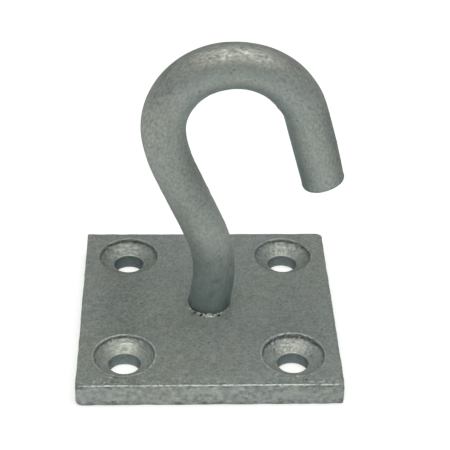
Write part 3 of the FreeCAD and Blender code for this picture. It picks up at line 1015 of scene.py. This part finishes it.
# How much brighter painted highlight and wear make the zinc and how much darker painted shade and matt
# marks make it, how rough and how metallic plain zinc is, the grey of its sheen, and how high its fine
# relief stands in millimetres
HIGHLIGHT_WEAR_GAIN = 1.1
SHADE_DULL_DARK = 0.62
ZINC_ROUGH = 0.54
ZINC_METAL = 0.6
ZINC_SHEEN = (0.3, 0.3, 0.3, 1)
FINE_RELIEF = 0.045


def zinc_finish(name, fleck, speck, highlight_warmth):
    """Dull hot-dip zinc: grey that drifts between green, blue and brown, mottled, speckled, pitted and rough.

    Where the mesh carries painted highlight or wear, the zinc is painted brighter and is smoother, and
    where it carries painted shade or matt marks, it is painted darker and is rougher. Where it glints the
    speckle is stronger and catches the light, and where the glint is below 0 the zinc takes a painted cool
    shade tint, with less speckle. The fleck is how strong the speckle is, the speck its size in millimetres,
    and highlight_warmth how far the zinc takes a painted warm, brown tint where it glints.
    """
    finish = Finish(name)
    place = finish.place()
    grain = finish.carried("grain")
    highlight_and_wear, dull_and_shade, glint = finish.parts(finish.carried("marks"))
    cloud = finish.noise(place, 9.0, 3.0).between(0.35, 0.65)
    brown = finish.noise(grain, 6.0, 2.0).between(0.5, 0.75)
    mottle = finish.noise(grain, 1.4, 3.0)
    speckle = finish.noise(grain, speck, 2.5, 0.6)
    pits = (1 - finish.cells(place, 2.1).between(0.07, 0.16)) * finish.noise(place, 5.0).between(0.45, 0.55)
    colour = finish.blend(cloud, ZINC_GREEN, ZINC_BLUE)
    # Brown in patches of the noise, and a painted warm highlight tint where the zinc glints
    colour = finish.blend(brown * 0.5 + glint.between(0, 1) * highlight_warmth, colour, ZINC_BROWN)
    # A painted cool shade tint where the glint is below 0
    colour = finish.blend(glint.between(0, -1), colour, ZINC_COOL_SHADE)
    level = 1.0 + (mottle - 0.5) * 0.35 + (speckle - 0.5) * (fleck + 0.5 * glint) - pits * 0.3
    # Painted highlight and wear lighten the colour, painted shade and matt marks darken it
    level = level * (1 - SHADE_DULL_DARK * dull_and_shade) + highlight_and_wear * HIGHLIGHT_WEAR_GAIN
    finish.feed(finish.shader.inputs["Base Color"], finish.scaled(colour, level))
    rough = ZINC_ROUGH - (speckle - 0.5) * (0.35 + 0.3 * glint) + (mottle - 0.5) * 0.2
    finish.feed(finish.shader.inputs["Roughness"], rough - 0.02 * glint - 0.26 * highlight_and_wear + 0.25 * dull_and_shade)
    finish.shader.inputs["Metallic"].default_value = ZINC_METAL
    finish.shader.inputs["Specular Tint"].default_value = ZINC_SHEEN
    finish.bump(speckle * (0.7 + 0.5 * glint) + mottle * 0.7 - pits * 0.6, FINE_RELIEF)
    return finish.material


FLOOR_LIGHT = (0.91, 0.91, 0.91, 1)
FLOOR_DARK = (0.89, 0.89, 0.89, 1)
FLOOR_LIFT = 0.45
# How far the floor reaches each way and how far it lies below the plate, in metres
FLOOR_REACH = 3.0
FLOOR_DROP = 0.00002


def floor_finish():
    """Plain matt white, which is a little lighter where the camera, metal or glass sees it."""
    finish = Finish("floor_white")
    cloud = finish.noise(finish.place(), 60.0)
    finish.feed(finish.shader.inputs["Base Color"], finish.blend(cloud, FLOOR_LIGHT, FLOOR_DARK))
    finish.shader.inputs["Roughness"].default_value = 0.9
    finish.shader.inputs["Specular IOR Level"].default_value = 0.1
    path = finish.node("ShaderNodeLightPath")
    seen = Value(finish, path.outputs["Is Camera Ray"]) + path.outputs["Is Glossy Ray"]
    seen = seen + path.outputs["Is Transmission Ray"]
    glow = finish.node("ShaderNodeEmission", None, {"Color": (1, 1, 1, 1), "Strength": seen * FLOOR_LIFT})
    both = finish.node("ShaderNodeAddShader", None, {0: finish.shader.outputs[0], 1: glow.outputs[0]})
    finish.links.new(both.outputs[0], finish.nodes["Material Output"].inputs["Surface"])
    return finish.material


def dress(piece, node, material):
    """Gives a piece its finish and its place in the part: it rides on the body and stands for its solid."""
    piece.data.materials.append(material)
    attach(piece, "root")
    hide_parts(node)


def make_floor():
    """A wide pale floor at the plate's back face."""
    mesh = bpy.data.meshes.new("floor")
    corners = [(across * FLOOR_REACH, along * FLOOR_REACH, 0) for across, along in CORNER_RADII]
    mesh.from_pydata(corners, [], [(0, 1, 3, 2)])
    floor = bpy.data.objects.new("floor", mesh)
    floor.location.z = -FLOOR_DROP
    floor.data.materials.append(floor_finish())
    bpy.context.scene.collection.objects.link(floor)


# The lamp, in metres and watts, and the surround
LAMP_PLACE = (0.04, -0.13, 0.9)
LAMP_AIM = (0, 0, 0.03)
LAMP_SIZE = 1.0
LAMP_POWER = 5.8
LAMP_COLOUR = (1.0, 0.965, 0.915)
SURROUND_COLOUR = (0.87, 1.0, 1.02, 1)
SURROUND_LIGHT = 0.25


def make_light():
    """A square soft lamp overhead that faces the middle of the hook, and a plain surround."""
    lamp = bpy.data.lights.new("overhead_lamp", "AREA")
    lamp.size = LAMP_SIZE
    lamp.energy = LAMP_POWER
    lamp.color = LAMP_COLOUR
    holder = bpy.data.objects.new("overhead_lamp", lamp)
    holder.location = LAMP_PLACE
    aim = Vector(LAMP_AIM) - Vector(LAMP_PLACE)
    holder.rotation_euler = aim.to_track_quat("-Z", "Y").to_euler()
    bpy.context.scene.collection.objects.link(holder)
    world = bpy.data.worlds.new("surround")
    world.use_nodes = True
    background = world.node_tree.nodes["Background"]
    background.inputs["Color"].default_value = SURROUND_COLOUR
    background.inputs["Strength"].default_value = SURROUND_LIGHT
    bpy.context.scene.world = world


def make_camera():
    """The photograph's camera: its axes come from azimuth, elevation and roll, its place from the offset."""
    azimuth, elevation, roll = np.radians((CAMERA_AZIMUTH, CAMERA_ELEVATION, CAMERA_ROLL)).tolist()
    forward = math.cos(elevation)
    ahead = Vector((-math.sin(azimuth) * forward, math.cos(azimuth) * forward, -math.sin(elevation)))
    level = ahead.cross(Vector((0, 0, 1))).normalized()
    upright = level.cross(ahead)
    right = level * math.cos(roll) + upright * math.sin(roll)
    up = upright * math.cos(roll) - level * math.sin(roll)
    place = -(right * CAMERA_OFFSET[0] + up * CAMERA_OFFSET[1] + ahead * CAMERA_OFFSET[2]) * MM
    lens = bpy.data.cameras.new("camera")
    lens.sensor_width = SENSOR
    lens.lens = CAMERA_FOCAL / PHOTO_SIZE * SENSOR
    lens.clip_start = 0.01
    camera = bpy.data.objects.new("camera", lens)
    turned = Matrix((right, up, -ahead)).transposed().to_4x4()
    camera.matrix_world = Matrix.Translation(place) @ turned
    bpy.context.scene.collection.objects.link(camera)
    bpy.context.scene.camera = camera


plate_zinc = zinc_finish("zinc_on_plate", fleck=1.25, speck=0.45, highlight_warmth=0.15)
bar_zinc = zinc_finish("zinc_on_bar", fleck=0.8, speck=0.42, highlight_warmth=0.4)
bead_zinc = zinc_finish("zinc_on_bead", fleck=1.0, speck=0.36, highlight_warmth=0.3)
dress(make_plate(), "mounting_plate", plate_zinc)
dress(make_hook(), "hook", bar_zinc)
dress(make_bead(), "foot_bead", bead_zinc)
make_floor()
make_light()
make_camera()
bpy.context.scene.view_settings.view_transform = "Standard"
